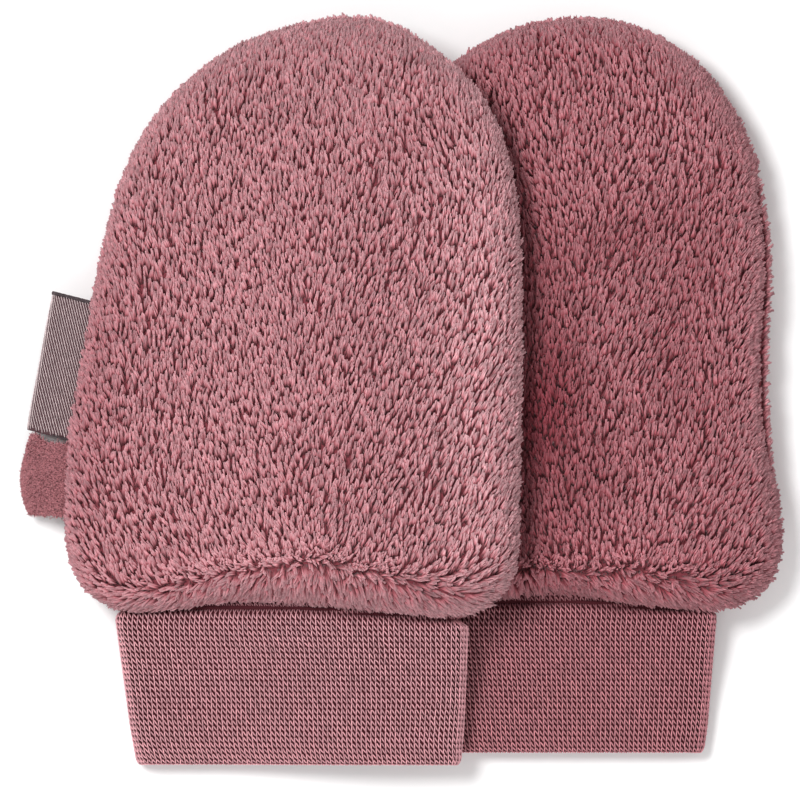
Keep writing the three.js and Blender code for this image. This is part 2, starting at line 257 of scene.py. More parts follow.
def cloth_material(name, roughness, sheen):
    material = bpy.data.materials.new(name)
    material.use_nodes = True
    shader = material.node_tree.nodes["Principled BSDF"]
    shader.inputs["Roughness"].default_value = roughness
    shader.inputs["Specular IOR Level"].default_value = 0.2
    shader.inputs["Sheen Weight"].default_value = sheen
    shader.inputs["Sheen Roughness"].default_value = 0.4
    shader.inputs["Sheen Tint"].default_value = linear(236, 200, 204)
    return material, material.node_tree.nodes, material.node_tree.links, shader


def shaded(nodes, links, colour):
    """A colour made a little darker or paler by the shade that is painted on each hair or strand."""
    shade = nodes.new("ShaderNodeAttribute")
    shade.attribute_name = "shade"
    spread = nodes.new("ShaderNodeMapRange")
    spread.inputs["To Min"].default_value = 1 - SHADE_SPREAD
    spread.inputs["To Max"].default_value = 1 + SHADE_SPREAD
    links.new(shade.outputs["Fac"], spread.inputs["Value"])
    tinted = nodes.new("ShaderNodeVectorMath")
    tinted.operation = "SCALE"
    links.new(colour, tinted.inputs["Vector"])
    links.new(spread.outputs["Result"], tinted.inputs["Scale"])
    return tinted.outputs["Vector"]


def pile_material(name, foot, middle, tip):
    material, nodes, links, shader = cloth_material(name, 0.8, 0.15)
    along = nodes.new("ShaderNodeAttribute")
    along.attribute_name = "along"
    ramp = nodes.new("ShaderNodeValToRGB")
    ramp.color_ramp.elements[0].color = linear(*foot)
    ramp.color_ramp.elements[1].color = linear(*tip)
    ramp.color_ramp.elements.new(MIDDLE_AT).color = linear(*middle)
    links.new(along.outputs["Fac"], ramp.inputs["Fac"])
    # painted light and shade: the tone of the soft patches makes the colour paler or darker
    tone = nodes.new("ShaderNodeAttribute")
    tone.attribute_name = "tone"
    paler = nodes.new("ShaderNodeVectorMath")
    paler.operation = "MULTIPLY_ADD"
    paler.inputs[1].default_value = PAINTED_SHADE_REDDER
    paler.inputs[2].default_value = (1, 1, 1)
    links.new(tone.outputs["Fac"], paler.inputs[0])
    both = nodes.new("ShaderNodeVectorMath")
    both.operation = "MULTIPLY"
    links.new(shaded(nodes, links, ramp.outputs["Color"]), both.inputs[0])
    links.new(paler.outputs["Vector"], both.inputs[1])
    links.new(both.outputs["Vector"], shader.inputs["Base Color"])
    return material


# The right mitten's colours are deeper than the left's: painted shade that darkens the right mitten.
PILE = {
    "left": pile_material("plush_left", (152, 70, 79), (168, 104, 111), (216, 162, 168)),
    "right": pile_material("plush_right_painted_shade", (128, 42, 51), (152, 82, 90), (202, 140, 147)),
}


def ground_material(name, colour):
    """Knitted ground of the plush, mostly hidden by the hairs."""
    material, nodes, links, shader = cloth_material(name, 0.9, 0.1)
    place = nodes.new("ShaderNodeTexCoord")
    mottle = nodes.new("ShaderNodeTexNoise")
    mottle.inputs["Scale"].default_value = 1400
    links.new(place.outputs["Object"], mottle.inputs["Vector"])
    ramp = nodes.new("ShaderNodeValToRGB")
    ramp.color_ramp.elements[0].color = linear(*(0.75 * v for v in colour))
    ramp.color_ramp.elements[1].color = linear(*colour)
    links.new(mottle.outputs["Fac"], ramp.inputs["Fac"])
    links.new(ramp.outputs["Color"], shader.inputs["Base Color"])
    bump = nodes.new("ShaderNodeBump")
    bump.inputs["Strength"].default_value = 0.6
    bump.inputs["Distance"].default_value = 0.2 * MM
    links.new(mottle.outputs["Fac"], bump.inputs["Height"])
    links.new(bump.outputs["Normal"], shader.inputs["Normal"])
    return material


GROUND = ground_material("plush_ground", (140, 66, 75))

# %% [markdown]
# ## The ground of each panel
#
# Under the hairs lies the knitted ground, a thin cloth. It is made as a thin closed shell on the outer
# skin's form, drawn in by the depth of the open pile.

# %% Ground shells
GROUND_DEPTH = 1.2 * MM
GROUND_THICK = 0.8 * MM


def boundary_edges(rows):
    """The edges that only one triangle has, in that triangle's direction."""
    edges = np.concatenate([rows[:, [0, 1]], rows[:, [1, 2]], rows[:, [2, 0]]])
    _, number, count = np.unique(np.sort(edges, axis=1), axis=0, return_inverse=True, return_counts=True)
    return edges[count[number.reshape(-1)] == 1]


def thin_shell(corners, rows, normals, depth, thick):
    """Vertices and triangles of a closed shell that follows a skin, depth below it."""
    outside = corners - normals * depth
    inside = corners - normals * (depth + thick)
    n = len(corners)
    rim = boundary_edges(rows)
    band = np.concatenate([
        np.column_stack([rim[:, 1], rim[:, 0], rim[:, 0] + n]),
        np.column_stack([rim[:, 1], rim[:, 0] + n, rim[:, 1] + n]),
    ])
    return np.concatenate([outside, inside]), np.concatenate([rows, rows[:, ::-1] + n, band])


for (side, panel), (corners, rows, normals) in skins.items():
    vertices, faces = thin_shell(corners, rows, normals, GROUND_DEPTH, GROUND_THICK)
    ground = new_piece(f"{side}_{panel}_ground", vertices, faces, GROUND)
    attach(ground, "root")
    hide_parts(f"{side}_{panel}_panel")
    area = area_of(vertices, faces).sum() / 2 / MM**2
    print(ground.name, "triangles:", len(faces), "area in square mm:", round(area))

# %% [markdown]
# ## Which way the pile was brushed
#
# On both mittens the hairs point to the fingertips and fan out to the sides. Just above the hem the
# seam allowance lies under the cloth and parts the pile. Below that parting the hairs hang down over
# the cuff as a fringe.

# %% Brushing
# Places in mm, and the turn of the hairs there, clockwise from the fingertips, in degrees.
BRUSHED = {
    "left": [
        (-20, 52, 8), (4, 54, 9), (-36, 40, 4), (8, 40, -12), (-14, 36, 8), (-43, 22, -7),
        (-24, 22, 6), (-4, 20, 12), (16, 20, 9), (-51, 2, -4), (-34, 6, 9), (-8, 2, 9),
        (15, -2, 18), (-38, -10, 9), (4, -10, 17), (-51, -20, -18), (-26, -20, 3), (-4, -22, 14),
        (-42, -28, -18), (14, -24, 19),
    ],
    "right": [
        (22, 54, -4), (40, 56, -4), (30, 44, 3), (48, 42, 0), (22, 32, -13), (40, 30, 12),
        (54, 28, 12), (24, 22, -6), (38, 20, 17), (26, 10, 9), (40, 6, 20), (54, 4, 6), (24, -6, 3),
        (44, -8, 6), (22, -13, -8), (36, -16, 8), (55, -18, 24), (30, -28, -4), (48, -28, 20),
        (-5, 10, 0),
    ],
}
# Where the pile parts above the hem, in mm.
PARTING = {
    "left": [
        (-56, -35), (-47, -34), (-41, -32.8), (-30, -30.3), (-18, -28.6), (-11.7, -28.2),
        (-7, -29.8), (0.3, -31), (6, -32.2), (12, -33), (20, -34),
    ],
    "right": [
        (-14, -30), (22, -29.2), (28.3, -30.2), (33.3, -30.5), (37.3, -29.5), (41.7, -30.8),
        (45.3, -30.5), (52, -32), (58, -33), (64, -34),
    ],
}
# The turn of the fringe below the parting, at the given places along the hem.
FRINGE = {
    "left": [(-56, 235), (-40, 235), (-30, 215), (-15, 185), (-5, 160), (5, 140), (21, 125)],
    "right": [(-14, 185), (20, 170), (30, 140), (45, 135), (55, 110), (64, 80)],
}
# Half the width, in mm, of the band in which the hairs turn from one way to the other: a sharp parting
# in the middle of the hem and a wide swirl at its corners.
SWIRL = {
    "left": [(-56, 8), (-46, 4), (-38, 1), (-2, 1), (8, 4), (20, 9)],
    "right": [(-14, 2), (22, 1), (46, 1), (54, 4), (62, 9)],
}
BRUSH_SOFT = 9
BRUSH_FALL = 1.5


def smoothstep(t):
    t = np.clip(t, 0, 1)
    return t * t * (3 - 2 * t)


def brushed_turn(side, x, y):
    """Turn of the pile at places in mm, how far they lie below the parting, and how wide that is there."""
    table = np.array(BRUSHED[side], float)
    away = (x[:, None] - table[:, 0]) ** 2 + (y[:, None] - table[:, 1]) ** 2
    weight = 1 / (away + BRUSH_SOFT) ** BRUSH_FALL
    turn = (weight * table[:, 2]).sum(1) / weight.sum(1)
    parting = np.array(PARTING[side], float)
    below = np.interp(x, parting[:, 0], parting[:, 1]) - y
    fringe = np.array(FRINGE[side], float)
    width = np.array(SWIRL[side], float)
    swirl = np.interp(x, width[:, 0], width[:, 1])
    onward = np.mod(np.interp(x, fringe[:, 0], fringe[:, 1]) - turn + 180, 360) - 180
    turn = turn + onward * smoothstep(0.5 + below / (2 * swirl))
    return np.radians(turn), below, swirl


# %% [markdown]
# ## Painted light and shade on the pile
#
# Soft patches of painted light and shade make the pile darker or paler than the rest, without a sharp
# edge: painted shadow beside the left mitten's edge and over soft dents, and painted light on bumps and
# along the right-hand sides of both mittens. Each such patch is a soft oval.

# %% Soft patches
# Middle x and y, half length and half width in mm, turn from +Y in degrees, and how much paler.
PAINTED_LIGHT_PATCHES = {
    "left": [
        (15, 0, 45, 9, 0, 0.27), (-53, 0, 40, 7, 4, -0.16), (5, 43, 6, 3, 60, -0.12),
        (-12.5, -12, 14, 4, 80, -0.05), (-44, -31, 9, 3, 60, -0.08), (-15, -34, 30, 2.5, 90, -0.06),
        (10, -34, 10, 4, 90, -0.04),
    ],
    "right": [
        (23, -6, 15, 8, 10, -0.42), (20, 24, 24, 6, -14, -0.26), (38, 26, 13, 4, 70, -0.14),
        (48, 18, 8, 4, 30, -0.12), (46, 4, 8, 5, -20, -0.12), (33, -15, 10, 5, 50, -0.12),
        (37, 10, 8, 6, 20, 0.06), (42, 45, 14, 10, 60, 0.1), (47, -15, 9, 8, 0, 0.07),
        (24, -24, 8, 5, 90, -0.12), (60, 10, 40, 4, 0, 0.16), (24, -33, 9, 3.5, 90, -0.16),
    ],
}


def painted_light_tone(side, x, y):
    """How much paler the pile is painted at places given in mm, as painted light and shade; 0 is its own
    colour.
    """
    tone = np.zeros(len(x))
    for middle_x, middle_y, length, width, turn, amount in PAINTED_LIGHT_PATCHES[side]:
        turn = math.radians(turn)
        along = (x - middle_x) * math.sin(turn) + (y - middle_y) * math.cos(turn)
        across = (x - middle_x) * math.cos(turn) - (y - middle_y) * math.sin(turn)
        tone += amount * np.exp(-((along / length) ** 2) - (across / width) ** 2)
    return tone


# %% [markdown]
# ## Spreading the locks
#
# Locks sit evenly but not in rows. Random spots are drawn all over the skin, and a spot that falls too
# close to one already kept is dropped. The skin could be cut into a grid instead, but its rows would
# show through the pile.

# %% Spread spots over a skin
TRIES = 7  # spots drawn for each square as wide as the spacing
ALONG_SQUEEZE = 0.5  # locks are longer than they are wide, so they lie further apart along the pile


def spots_on(skin, spacing, random):
    """Evenly spread random places on a skin, with the smooth normal at each."""
    corners, rows, normals = skin
    areas = area_of(corners, rows)
    count = int(TRIES * areas.sum() / spacing**2)
    row = rows[random.choice(len(rows), count, p=areas / areas.sum())]
    share = random.dirichlet((1, 1, 1), count)
    places = (corners[row] * share[:, :, None]).sum(1)
    looks = unit((normals[row] * share[:, :, None]).sum(1))
    squeezed = places * [1, ALONG_SQUEEZE, 1]
    cells = np.floor(squeezed / spacing).astype(int)
    kept, taken = [], {}
    near = [(i, j, k) for i in (-1, 0, 1) for j in (-1, 0, 1) for k in (-1, 0, 1)]
    for n, (cell, place) in enumerate(zip(cells.tolist(), squeezed.tolist())):
        close = False
        for step in near:
            for x, y, z in taken.get((cell[0] + step[0], cell[1] + step[1], cell[2] + step[2]), ()):
                if (x - place[0]) ** 2 + (y - place[1]) ** 2 + (z - place[2]) ** 2 < spacing**2:
                    close = True
                    break
            if close:
                break
        if not close:
            kept.append(n)
            taken.setdefault(tuple(cell), []).append(place)
    return places[kept], looks[kept]


# %% [markdown]
# ## A hair
#
# A hair is a closed sliver of four triangles, between a short edge at its foot and another at its blunt
# tip, set across the first. So it is as broad at the top as a tuft of real hairs is, and it has a bright
# side and a dark side. A single spike would show as a thin dark line from above.

# %% A hair
def four_sided(foot, tip, deep, broad):
    """Closed hairs of four triangles, each between an edge at its foot and another at its tip."""
    corners = [foot - deep, foot + deep, tip + broad, tip - broad]
    vertices = np.stack(corners, axis=-2).reshape(-1, 4, 3)
    side_a, side_b, side_c = (vertices[:, k] - vertices[:, 0] for k in (1, 2, 3))
    inside_out = (np.cross(side_a, side_b) * side_c).sum(1) < 0
    vertices[inside_out] = vertices[inside_out][:, [1, 0, 2, 3]]
    vertices = vertices.reshape(-1, 3)
    first = np.arange(0, len(vertices), 4)[:, None, None]
    return vertices, (first + np.array([[2, 1, 0], [0, 1, 3], [1, 2, 3], [2, 0, 3]])).reshape(-1, 3)


# %% [markdown]
# ## Where the locks end
#
# A lock leans the way it was brushed and ends at the skin's height. Under the parting the locks are
# longer and hang down, and over the right mitten's outer seam they stand out to cover it.

# %% Where the locks end
LEAN_REACH = 1.9 * MM
FRINGE_REACH = 2.6 * MM
REACH_RANGE = (0.8, 1.2)
AT_RIM = 0.5  # how much of its reach a lock keeps where the skin stands upright
TURN_SPREAD = 8
PARTING_REACH = 0.55
PARTING_FADE = 2.6
PARTING_MESS = 30
# How far, in mm, the tips end above the skin, how much that varies and its limits.
RISE_MIDDLE = -0.2
RISE_SPREAD = (0.06, 0.14)
RISE_RANGE = (-0.7, 0.15)
EDGE_DROP = 0.5 * MM  # hairs that point over the edge bend down with it
# The right mitten's outer seam is rolled to the front, and the pile stands over it.
SEAM_REACH = 1.8 * MM
SEAM_FILL = 0.4 * MM
SEAM_TURNED_UP = 0.3
SEAM_FROM_X = 44 * MM
SEAM_FADE = 8 * MM
# Inside the hem's corners the hairs stand up.
HEM_FILL = 1.2 * MM
HEM_REACH = 0.1


def lock_tips(side, facing, spots, looks, random):
    """The way each lock lies and the place where it ends."""
    count = len(spots)
    level = np.abs(looks[:, 2])
    inside = facing * looks[:, 2] < LOOKS_UNDER
    turn, below, swirl = brushed_turn(side, spots[:, 0] / MM, spots[:, 1] / MM)
    mess = (1 - smoothstep(np.abs(below) / PARTING_FADE)) / swirl
    turn = turn + np.radians(random.normal(0, 1, count) * (TURN_SPREAD + PARTING_MESS * mess))
    way = np.column_stack([np.sin(turn), np.cos(turn), np.zeros(count)])
    over_edge = np.abs((way * looks).sum(1))
    if side == "right":
        ledge = (1 - level) * smoothstep((spots[:, 0] - SEAM_FROM_X) / SEAM_FADE)
        way[:, 2] += np.where((facing < 0) & (random.uniform(0, 1, count) < SEAM_TURNED_UP), 2 * ledge, 0)
    along = unit(way - looks * (way * looks).sum(1, keepdims=True) + 1e-9)
    from_parting = 1 - (1 - PARTING_REACH) * mess
    reach = np.where(below > 0, FRINGE_REACH, LEAN_REACH) * (AT_RIM + (1 - AT_RIM) * level) * from_parting
    reach = reach * random.uniform(*REACH_RANGE, count) * np.where(inside, HEM_REACH, 1)
    rise = random.normal(RISE_MIDDLE, RISE_SPREAD[0] + RISE_SPREAD[1] * level, count).clip(*RISE_RANGE) * MM
    rise -= EDGE_DROP * over_edge * (reach / LEAN_REACH) ** 2
    rise += np.where(inside, HEM_FILL, 0)
    if side == "right":
        rise += np.where(facing > 0, SEAM_REACH, SEAM_FILL) * ledge
    return along, spots + along * reach[:, None] + looks * rise[:, None]


# %% [markdown]
# ## Growing the hairs
#
# The feet of a lock's hairs are spread out in the ground, and their tips cling together. The hairs of
# all locks are made at once, as arrays, since one by one they would take minutes.

# %% Grow the hairs
HAIRS_A_LOCK = 6
FOOT_SPREAD = 0.45 * MM
TIP_SPREAD = 0.26 * MM
LOCK_LENGTH = 0.6 * MM
LOCK_AT_RIM = 0.3  # how much of its length a lock keeps where the skin stands upright
LOCK_ROUND = 0.3 * MM  # how much lower the hairs at a lock's sides end
UNEVEN_ALONG = 0.2 * MM
UNEVEN_UP = 0.12 * MM
FOOT_HALF = 0.32 * MM
TIP_HALF = 0.16 * MM
HAIR_SIZES = (0.8, 1.25)
TIP_TWIST = 45
TWIST_SPREAD = 18
LOCK_SHADE = 0.14
HAIR_SHADE = 0.28
TABLE_CLEAR = 0.15 * MM
RIM_FOOT = 0.45  # at the rim the feet of the hairs are as pale as if they stood this far up


def grow_pile(side, facing, spots, looks, random):
    """Vertices, faces and the painted values of the pile on one panel."""
    along, lock_tip = lock_tips(side, facing, spots, looks, random)
    level = np.abs(looks[:, 2])
    shape = (len(spots), HAIRS_A_LOCK)
    angle = random.uniform(0, 2 * np.pi, shape)
    out = np.sqrt(random.uniform(0, 1, shape))
    sway, step = out * np.cos(angle), out * np.sin(angle)
    step = step * (LOCK_AT_RIM + (1 - LOCK_AT_RIM) * level)[:, None]
    a, b, n = along[:, None, :], np.cross(looks, along)[:, None, :], looks[:, None, :]
    foot = spots[:, None, :] - n * GROUND_DEPTH + b * (sway * FOOT_SPREAD)[..., None]
    foot = foot + a * (step * LOCK_LENGTH)[..., None]
    tip = lock_tip[:, None, :] + b * (sway * TIP_SPREAD)[..., None] - n * (sway**2 * LOCK_ROUND)[..., None]
    tip = tip + a * (step * LOCK_LENGTH + random.normal(0, UNEVEN_ALONG, shape))[..., None]
    tip = tip + n * random.normal(0, UNEVEN_UP, shape)[..., None]
    lengthwise = unit(tip - foot)
    flat = unit(np.cross(lengthwise, n))
    ridge = np.cross(flat, lengthwise)
    size = random.uniform(*HAIR_SIZES, shape)[..., None]
    hand = np.where(random.uniform(0, 1, shape) < 0.5, -1, 1)
    twist = np.radians(TIP_TWIST * hand + random.normal(0, TWIST_SPREAD, shape))[..., None]
    broad = TIP_HALF * size * (np.cos(twist) * flat + np.sin(twist) * ridge)
    deep = FOOT_HALF * size * (np.cos(twist) * ridge - np.sin(twist) * flat)
    vertices, faces = four_sided(foot, tip, deep, broad)
    vertices[:, 2] = np.maximum(vertices[:, 2], TABLE_CLEAR)
    lock_shade = LOCK_SHADE * random.normal(0, 1, (len(spots), 1))
    shade = 0.5 + lock_shade + HAIR_SHADE * random.normal(0, 1, shape)
    foot_along = RIM_FOOT * (1 - level)
    hair_along = np.column_stack([foot_along, foot_along, np.ones((len(spots), 2))])
    along_value = np.repeat(hair_along, HAIRS_A_LOCK, axis=0)
    return vertices, faces, along_value.ravel(), np.repeat(shade.clip(0, 1).ravel(), 4)


# %% [markdown]
# ## Pile on every panel
#
# One spread of spots covers a panel evenly, coarser on the back, which lies face down. A second one
# adds locks where more hair stands than elsewhere: along the parting, at the rim of the backs and over
# the right mitten's outer seam. A third covers the faces inside the hem's corners.

# %% Pile on every panel
CROWDED = 2.5  # within this many mm of the parting
RIM_LEVEL = 0.7
LOCK_SPACING = {
    ("left", "front"): 0.572,
    ("right", "front"): 0.556,
    ("left", "back"): 1.02,
    ("right", "back"): 1.02,
}
MORE_SPACING = 0.6
MOUTH_SET_BACK = 2 * MM  # the pile inside the hem stays behind the edge
MOST_TRIANGLES = 199_000
MOST_LOCKS = MOST_TRIANGLES // (4 * HAIRS_A_LOCK)

for number, ((side, panel), skin) in enumerate(skins.items()):
    random = np.random.default_rng(11 + number)
    spots, looks = spots_on(skin, LOCK_SPACING[side, panel] * MM, random)
    more, more_looks = spots_on(skin, MORE_SPACING * MM, random)
    _, below, swirl = brushed_turn(side, more[:, 0] / MM, more[:, 1] / MM)
    crowded = np.abs(below) * swirl < CROWDED
    at_rim = np.abs(more_looks[:, 2]) < RIM_LEVEL
    crowded |= at_rim & ((panel == "back") | ((side == "right") & (more[:, 0] > SEAM_FROM_X)))
    mouth, mouth_looks = spots_on(mouths[side, panel], MORE_SPACING * MM, random)
    mouth[:, :2] += unit(spots.mean(0)[:2] - mouth[:, :2]) * MOUTH_SET_BACK
    spots = np.concatenate([mouth, more[crowded], spots])
    looks = np.concatenate([mouth_looks, more_looks[crowded], looks])
    print(side, panel, "locks:", len(spots), "of at most", MOST_LOCKS)
    spots, looks = spots[:MOST_LOCKS], looks[:MOST_LOCKS]
    vertices, faces, along_value, shade = grow_pile(side, FACING[panel], spots, looks, random)
    pile = new_piece(f"{side}_{panel}_pile", vertices, faces, PILE[side])
    paint_value(pile, "along", along_value)
    paint_value(pile, "shade", shade)
    # painted light and shade from the soft patches, stored as the tone
    paint_value(pile, "tone", painted_light_tone(side, vertices[:, 0] / MM, vertices[:, 1] / MM))
    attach(pile, "root")
    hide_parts(f"{side}_{panel}_panel")
    print(pile.name, "triangles:", len(faces))

# %% [markdown]
# ## The cuffs
#
# A cuff is a doubled tube of fine knit, folded at its free end and pressed flat. A picture of knit
# could be painted on it, but from the side it would look like paper. So its stitches are laid on it one
# by one, as real strands of yarn. For that its form is read first, by cutting its solid in thin slices.

# %% Slices of a cuff
def loop_at(corners, rows, y):
    """The outer outline of a cuff where the plane y cuts it, as a closed line of points."""
    above = corners[:, 1] > y
    crossed = rows[above[rows].any(1) & ~above[rows].all(1)]
    point, links = {}, {}
    for row in crossed.tolist():
        ends = []
        for i in range(3):
            p, q = row[i], row[(i + 1) % 3]
            if above[p] != above[q]:
                key = (min(p, q), max(p, q))
                a, b = corners[key[0]], corners[key[1]]
                point[key] = a + (b - a) * ((y - a[1]) / (b[1] - a[1]))
                ends.append(key)
        links.setdefault(ends[0], []).append(ends[1])
        links.setdefault(ends[1], []).append(ends[0])
    loops = []
    while links:
        start = next(iter(links))
        line, here = [start], start
        while True:
            onward = [k for k in links[here] if k not in line[-2:] and (k != start or len(line) > 2)]
            if not onward or onward[0] == start:
                break
            here = onward[0]
            line.append(here)
        for k in line:
            links.pop(k, None)
        loops.append(np.array([point[k] for k in line]))
    return max(loops, key=lambda line: np.ptp(line[:, 0]))


def left_height(line):
    """Height of the middle of a closed line's left side."""
    left = line[line[:, 0] < line[:, 0].min() + LEFT_SIDE]
    return (left[:, 2].min() + left[:, 2].max()) / 2


def even_loop(line, count, height):
    """A closed line, from its left side at the given height over its top, as evenly spaced points."""
    following = np.roll(line, -1, axis=0)
    crosses = (line[:, 2] < height) != (following[:, 2] < height)
    crosses &= line[:, 0] < line[:, 0].min() + 3 * LEFT_SIDE
    k = int(np.flatnonzero(crosses)[0])
    share = (height - line[k, 2]) / (following[k, 2] - line[k, 2])
    start = line[k] + (following[k] - line[k]) * share
    rises = following[k, 2] > line[k, 2]
    rest = np.roll(line, -(k + 1), axis=0)
    closed = np.vstack([start, rest if rises else rest[::-1], start])
    far = np.concatenate([[0], np.cumsum(np.linalg.norm(np.diff(closed, axis=0), axis=1))])
    at = np.arange(count) * far[-1] / count
    return np.column_stack([np.interp(at, far, closed[:, k]) for k in range(3)])


# %% [markdown]
# The slices, one to a course of stitches, make up the cuff's form: down its outside, round the fold and
# a little way up its inside. Where the cuff is sewn to the plush the knit dips, and a dark line shows
# there, from the dip's own shade and from shade painted on its stitches.

# %% The form of a cuff
LEFT_SIDE = 0.6 * MM
CUFF_WALL = 2 * MM
CUFF_TOP_Y = -32.5 * MM
COURSE = 0.94 * MM
WALES = {"left": 146, "right": 145}
# Where the dark line of the seam runs, in mm.
SEWN = {
    "left": [(-47, -36.3), (-30, -35.9), (-17, -35.9), (-7, -36.9), (6, -37.8), (12, -38)],
    "right": [(-6, -35), (28, -35), (37, -35.8), (43, -36.1), (53, -36)],
}
SEAM_SINK = 2.0 * MM
SEAM_WIDTH = 0.7 * MM
FINE = 4  # points of a form to a wale
INNER_COURSES = 2


def cuff_form(side):
    """Rows of points and outward looks: one row to a course and FINE points to a wale."""
    node = f"{side}_cuff"
    corners, rows = node_triangles(node)
    half_wall = CUFF_WALL / 2
    straight = CUFF_TOP_Y - (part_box(node)[0].y + half_wall)
    courses = int(round(straight / COURSE))
    ys = CUFF_TOP_Y - straight * np.arange(courses + 1) / courses
    lines = [loop_at(corners, rows, y) for y in ys]
    starts = np.polyval(np.polyfit(ys, [left_height(line) for line in lines], 3), ys)
    sewn = np.array(SEWN[side]) * MM
    points, looks, dips = [], [], []
    for y, line, start in zip(ys, lines, starts):
        line = even_loop(line, WALES[side] * FINE, start)
        ahead = unit(np.roll(line, -2, axis=0) - np.roll(line, 2, axis=0))
        out = unit(np.cross(ahead, [0, 1, 0]))
        if (out * (line - line.mean(0))).sum() < 0:
            out = -out
        from_seam = (y - np.interp(line[:, 0], sewn[:, 0], sewn[:, 1])) / SEAM_WIDTH
        dip = np.exp(-(from_seam**2))
        points.append(line - out * SEAM_SINK * dip[:, None])
        looks.append(out)
        dips.append(dip)
    middle = points[-1] - looks[-1] * half_wall
    out = looks[-1]
    down = np.array([0, -1, 0])
    turns = int(round(math.pi * half_wall / COURSE))
    for k in range(1, turns + 1):
        turn = math.pi * k / turns
        look = math.cos(turn) * out + math.sin(turn) * down
        points.append(middle + look * half_wall)
        looks.append(look)
    for k in range(courses - 1, -1, -1):
        points.append(points[k] - looks[k] * CUFF_WALL)
        looks.append(-looks[k])
    dips += [np.zeros(len(dips[0]))] * (len(points) - len(dips))
    grids = {"points": np.array(points), "looks": np.array(looks), "dips": np.array(dips)[..., None]}
    return grids | {"round": True, "rows": courses + turns + INNER_COURSES}


cuff_forms = {side: cuff_form(side) for side in ("left", "right")}
for side, form in cuff_forms.items():
    lowest = form["points"][..., 2].min() / MM
    print(side, "cuff: rows", form["rows"], "wales", WALES[side], "lowest point in mm", round(lowest, 2))

# %% [markdown]
# ## Cloth and threads on a form
#
# The cuffs, the label and the tab are all strips of cloth folded in two. Each has a form, a grid of
# points over its outside. The cloth itself is a thin closed sheet on that grid. Threads that show one
# by one are short closed strands laid on it by two numbers: how far across, in wales, and how far down,
# in rows.

# %% Cloth and threads on a form
def folded_cloth(form, sunk, thick, every):
    """Vertices and faces of a thin closed sheet, sunk below a form."""
    points, looks = form["points"][:, ::every], form["looks"][:, ::every]
    rows, columns = points.shape[:2]
    index = np.arange(rows * columns).reshape(rows, columns)
    beside = np.roll(index, -1, axis=1)
    if not form["round"]:
        index, beside = index[:, :-1], beside[:, :-1]
    faces = np.stack([index[:-1], index[1:], beside[1:], beside[:-1]], axis=-1).reshape(-1, 4)
    n = rows * columns
    rims = [
        np.column_stack([index[0], beside[0], beside[0] + n, index[0] + n]),
        np.column_stack([beside[-1], index[-1], index[-1] + n, beside[-1] + n]),
    ]
    if not form["round"]:
        first, last = index[:, 0], beside[:, -1]
        rims.append(np.column_stack([first[1:], first[:-1], first[:-1] + n, first[1:] + n]))
        rims.append(np.column_stack([last[:-1], last[1:], last[1:] + n, last[:-1] + n]))
    outside = (points - looks * sunk).reshape(-1, 3)
    inside = (points - looks * (sunk + thick)).reshape(-1, 3)
    return np.concatenate([outside, inside]), np.concatenate([faces, faces[:, ::-1] + n, *rims])


def on_form(form, across, down):
    """Points, outward directions and dips on a form."""
    points, looks, dips = (form[name] for name in ("points", "looks", "dips"))
    count = points.shape[1]
    at = np.mod(across * FINE, count) if form["round"] else (across * FINE).clip(0, count - 1.001)
    i, u = np.floor(at).astype(int) % count, (at - np.floor(at))[..., None]
    down = down.clip(0, len(points) - 1.001)
    k, v = np.floor(down).astype(int), (down - np.floor(down))[..., None]
    j = (i + 1) % count

    def blend(rows):
        upper = rows[k, i] * (1 - u) + rows[k, j] * u
        lower = rows[k + 1, i] * (1 - u) + rows[k + 1, j] * u
        return upper * (1 - v) + lower * v

    return blend(points), unit(blend(looks)), blend(dips)[..., 0]


# painted shade: how much the stitches in the seam's dip are darkened
DIP_PAINTED_SHADE = 0.8
STRAND_SHADE = 0.22
THIN_END = 0.75  # width of a strand where it doesn't bulge, as a share
# Painted shade: how pale a strand's two lower edges and its ends are painted; its bulging top is 1.
LOW_SIDE = 0.15
LOW_END = 0.4


def strands(form, across, down, leg, thread, random):
    """Closed strands that start at the given places of a form: three rings of three points each."""
    jitter = random.normal(0, thread["jitter"], (len(across), len(leg), 2))
    shade = (0.5 + random.normal(0, STRAND_SHADE, len(across))).clip(0, 1)
    before = on_form(form, across + leg[0][0], down + leg[0][1])[0]
    after = on_form(form, across + leg[-1][0], down + leg[-1][1])[0]
    lengthwise = unit(after - before)
    rings, heights = [], []
    for n, (aside, onward, bulge) in enumerate(leg):
        place, look, dip = on_form(form, across + aside + jitter[:, n, 0], down + onward + jitter[:, n, 1])
        flat = unit(np.cross(lengthwise, look))
        centre = place - look * (thread["sunk"] - thread["bulge"] * bulge)
        width = thread["width"] * (THIN_END + (1 - THIN_END) * bulge)
        turns = (math.pi / 2, math.pi * 7 / 6, math.pi * 11 / 6)
        ring = [centre + width * (math.cos(t) * flat + math.sin(t) * look) for t in turns]
        rings.append(np.stack(ring, axis=1))
        # painted shade: darker lower edges and ends, and darker stitches in the seam's dip
        painted_shading = np.outer(1 - DIP_PAINTED_SHADE * dip, [1.0, LOW_SIDE, LOW_SIDE])
        heights.append(painted_shading * (LOW_END + (1 - LOW_END) * bulge))
    vertices = np.stack(rings, axis=1).reshape(-1, 3)
    size = 3 * len(leg)
    faces = [[2, 1, 0], [size - 3, size - 2, size - 1]]
    for n in range(len(leg) - 1):
        for i in range(3):
            p, q = 3 * n + i, 3 * n + (i + 1) % 3
            faces += [[p, q, q + 3], [p, q + 3, p + 3]]
    first = np.arange(0, len(vertices), size)[:, None, None]
    faces = (first + np.array(faces)).reshape(-1, 3)
    return vertices, faces, np.stack(heights, axis=1).ravel(), np.repeat(shade, size)


